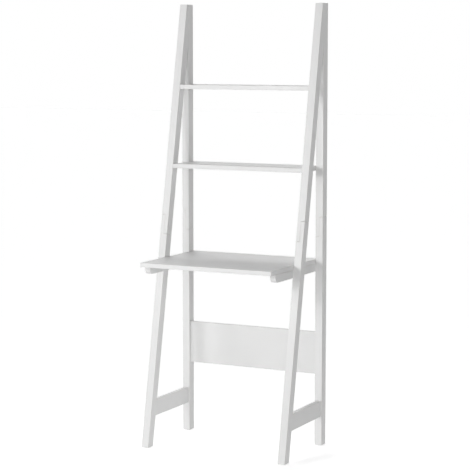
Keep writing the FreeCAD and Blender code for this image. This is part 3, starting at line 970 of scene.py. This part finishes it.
def thread(core, crest, pitch, bottom, top):
    """A wound ridge, with its root inside the core that it is joined to, from bottom to top."""
    foot, wide = core - ROOT_IN_CORE, pitch * RIDGE_SHARE_OF_PITCH
    corners = [(foot, 0), (crest, wide / 2), (foot, wide)]
    ridge = outline_piece("thread", corners, [(0, 1), (1, 2), (2, 0)])
    ridge.data.transform(Matrix.Translation((0, 0, bottom)))
    only(ridge)
    winding = ridge.modifiers.new("winding", "SCREW")
    winding.axis = "Z"
    winding.angle = math.tau
    winding.iterations = int((top - bottom) / pitch)
    winding.screw_offset = pitch
    winding.steps = winding.render_steps = RIDGE_STEPS
    bpy.ops.object.modifier_apply(modifier=winding.name)
    edit_all(ridge)
    bpy.ops.mesh.fill_holes(sides=3)
    bpy.ops.mesh.normals_make_consistent(inside=False)
    return done(ridge)


# %% The cross in the head
ABOVE_HEAD = 0.1 * MM
ARM_TAPER = 0.45


def cross_cutter(span, width, depth):
    """Two tapered arms, sunk to a depth below zero."""
    arms = []
    for turn in (0, math.pi / 2):
        bpy.ops.object.select_all(action="DESELECT")
        bpy.ops.mesh.primitive_cube_add(size=1, location=(0, 0, (ABOVE_HEAD - depth) / 2))
        arm = bpy.context.active_object
        arm.scale = (span, width, depth + ABOVE_HEAD)
        arm.rotation_euler = (0, 0, turn)
        bpy.ops.object.transform_apply(location=True, rotation=True, scale=True)
        mesh = edit(arm)
        for corner in mesh.verts:
            corner.select = corner.co.z < -depth / 2
        mesh.select_flush_mode()
        bpy.ops.transform.resize(value=(ARM_TAPER, ARM_TAPER, 1))
        arms.append(done(arm))
    return united(*arms)


# %% The screw
HEAD_HEIGHT = 2.4 * MM
HEAD_RIM = 0.25 * MM
POINT_LENGTH = 5.0 * MM
TIP_HEIGHT = 0.8 * MM
THREAD_PITCH = 1.8 * MM
RUN_OUT = 0.6 * MM
# Shares of the screw's length, of its shank's radius and of its core's radius.
SMOOTH_SHARE = 0.45
SMOOTH_RADIUS = 0.92
CORE_RADIUS = 0.70
TIP_RADIUS = 0.35
# The cross's span and width are shares of the head's radius, and its depth of the head's height.
CROSS_SPAN, CROSS_WIDTH, CROSS_DEPTH = 1.15, 0.26, 0.75


def screw_master(head_radius, shank_radius, length):
    """Its point is down and stands at zero, and its head is at the top."""
    core, smooth = shank_radius * CORE_RADIUS, shank_radius * SMOOTH_RADIUS
    threaded_top = length * (1 - SMOOTH_SHARE)
    screw = turned("screw", [
        (0, 0),
        (core * TIP_RADIUS, TIP_HEIGHT),
        (core, POINT_LENGTH),
        (core, threaded_top - RUN_OUT),
        (smooth, threaded_top),
        (smooth, length - HEAD_HEIGHT),
        (head_radius, length - HEAD_RIM),
        (head_radius - HEAD_RIM, length),
        (0, length),
    ])
    last_turn = threaded_top - THREAD_PITCH
    united(screw, thread(core, shank_radius, THREAD_PITCH, POINT_LENGTH, last_turn))
    cross = cross_cutter(
        head_radius * CROSS_SPAN, head_radius * CROSS_WIDTH, HEAD_HEIGHT * CROSS_DEPTH,
    )
    cross.data.transform(Matrix.Translation((0, 0, length)))
    return shade(merged(cut(screw, cross)), METAL_EDGE)


# %% Screws in their holes
SHANK_RADIUS = {"apex_screws": 2.25 * MM, "desktop_screws": 2.0 * MM}


def screws(node, name):
    low, high = solids_in(node)[0]
    _, head, length = sorted(high - low)
    master = screw_master(head / 2, SHANK_RADIUS[node], length)
    return set_in(master, node, name, zinc, "zinc_steel")


screws("apex_screws", "cross_headed_apex_screws")
screws("desktop_screws", "cross_headed_desktop_screws")

# %% [markdown]
# ## The cross dowels
#
# A shelf bolt runs into a cross dowel: a short round bar of zinc-plated steel with a threaded
# hole through its side, set in a hole from the hidden face of the board. A slot in its end
# lets a screwdriver line the thread up with the bolt. The bar is turned, then the hole and the
# slot are cut from it.

# %% The cross dowel
DOWEL_ROUND = 0.4 * MM
CROSS_DOWEL_RADIUS = 5.0 * MM
THREADED_HOLE = 3.0 * MM
SLOT_WIDTH = 1.3 * MM
SLOT_DEPTH = 1.2 * MM


def cross_dowel_master(radius, length):
    """Stands on its closed end, with the slot at the top and the threaded hole along X."""
    bar = turned("cross_dowel", [
        (0, 0), (radius - DOWEL_ROUND, 0), (radius, DOWEL_ROUND),
        (radius, length - DOWEL_ROUND), (radius - DOWEL_ROUND, length), (0, length),
    ])
    right_through = 4 * radius
    bpy.ops.object.select_all(action="DESELECT")
    bpy.ops.mesh.primitive_cylinder_add(
        vertices=TURNED_SIDES, radius=THREADED_HOLE, depth=right_through,
        location=(0, 0, length / 2), rotation=(0, math.pi / 2, 0),
    )
    cut(bar, bpy.context.active_object)
    bpy.ops.object.select_all(action="DESELECT")
    bpy.ops.mesh.primitive_cube_add(size=1, location=(0, 0, length))
    slot = bpy.context.active_object
    slot.scale = (SLOT_WIDTH, right_through, 2 * SLOT_DEPTH)
    bpy.ops.object.transform_apply(location=True, scale=True)
    return shade(merged(cut(bar, slot)), METAL_EDGE)


# %% Cross dowels in their boards
def cross_dowels(node, name):
    _, _, length = seats(node)[0]
    master = cross_dowel_master(CROSS_DOWEL_RADIUS, length)
    return set_in(master, node, name, zinc, "zinc_steel")


cross_dowels("shelf_barrel_nuts", "slotted_shelf_dowels")
cross_dowels("panel_barrel_nuts", "slotted_panel_dowels")

# %% [markdown]
# ## The foot glides
#
# A nail-on glide is a low disc of plastic with a rounded edge, moulded round the head of a
# nail. Its underside is slightly dished in the middle, where the nail's head lies. It is
# turned from one outline, with the nail as its upper end.

# %% The glide
GLIDE_HEIGHT = 3.0 * MM
GLIDE_ROUND = 1.2 * MM
ARC_STEPS = 5
DISH_RADIUS = 4.2 * MM
DISH_DEPTH = 0.7 * MM
DISH_WALL = 1.0 * MM
LIP_WIDTH = 0.4 * MM
LIP_HEIGHT = 0.15 * MM
NAIL_RADIUS = 1.25 * MM
NAIL_POINT = 2.5 * MM
NAIL_TIP_RADIUS = 0.2 * MM
NAIL_TIP_HEIGHT = 0.1 * MM


def quarter(radius, height, size, start):
    """A quarter of a circle round a point, from a start angle upwards."""
    angles = [start + math.pi / 2 * step / ARC_STEPS for step in range(ARC_STEPS + 1)]
    return [(radius + size * math.cos(a), height + size * math.sin(a)) for a in angles]


def glide_master(radius, length):
    """Its underside is down and stands at zero, and its nail points up."""
    above = GLIDE_ROUND / 2
    return shade(turned("glide", [
        (0, DISH_DEPTH),
        (DISH_RADIUS - DISH_WALL, DISH_DEPTH),
        (DISH_RADIUS, LIP_HEIGHT),
        (DISH_RADIUS + LIP_WIDTH, 0),
        *quarter(radius - GLIDE_ROUND, GLIDE_ROUND, GLIDE_ROUND, -math.pi / 2),
        *quarter(radius - above, GLIDE_HEIGHT - above, above, 0),
        (NAIL_RADIUS, GLIDE_HEIGHT),
        (NAIL_RADIUS, length - NAIL_POINT),
        (NAIL_TIP_RADIUS, length - NAIL_TIP_HEIGHT),
        (0, length),
    ]))


# %% Glides under the feet
low, high = solids_in("foot_glides")[0]
length = high.z - low.z
glide = glide_master((high.x - low.x) / 2, length)
# A seat wants the outer end on top, so the glide is turned over before it is copied.
glide.data.transform(Matrix.Rotation(math.pi, 4, "X"))
glide.data.transform(Matrix.Translation((0, 0, length)))
set_in(glide, "foot_glides", "round_foot_glides", glide_plastic, "glide")

# %% [markdown]
# ## The hidden hardware
#
# The bolts, the threaded inserts and the wooden dowels lie inside the timbers. Their CAD
# solids stay as they are and get their own finish.

# %% Finishes of the CAD nodes that stay
HIDDEN = {
    "stretcher_dowels": beech,
    "lap_bolts": zinc,
    "lap_inserts": turned_brass,
    "bearer_bolts": zinc,
    "bearer_inserts": turned_brass,
    "shelf_bolts": zinc,
    "panel_bolts": zinc,
}
for node, material in HIDDEN.items():
    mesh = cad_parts[node].data
    mesh.materials.clear()
    mesh.materials.append(material)
print("hidden nodes painted:", len(HIDDEN))
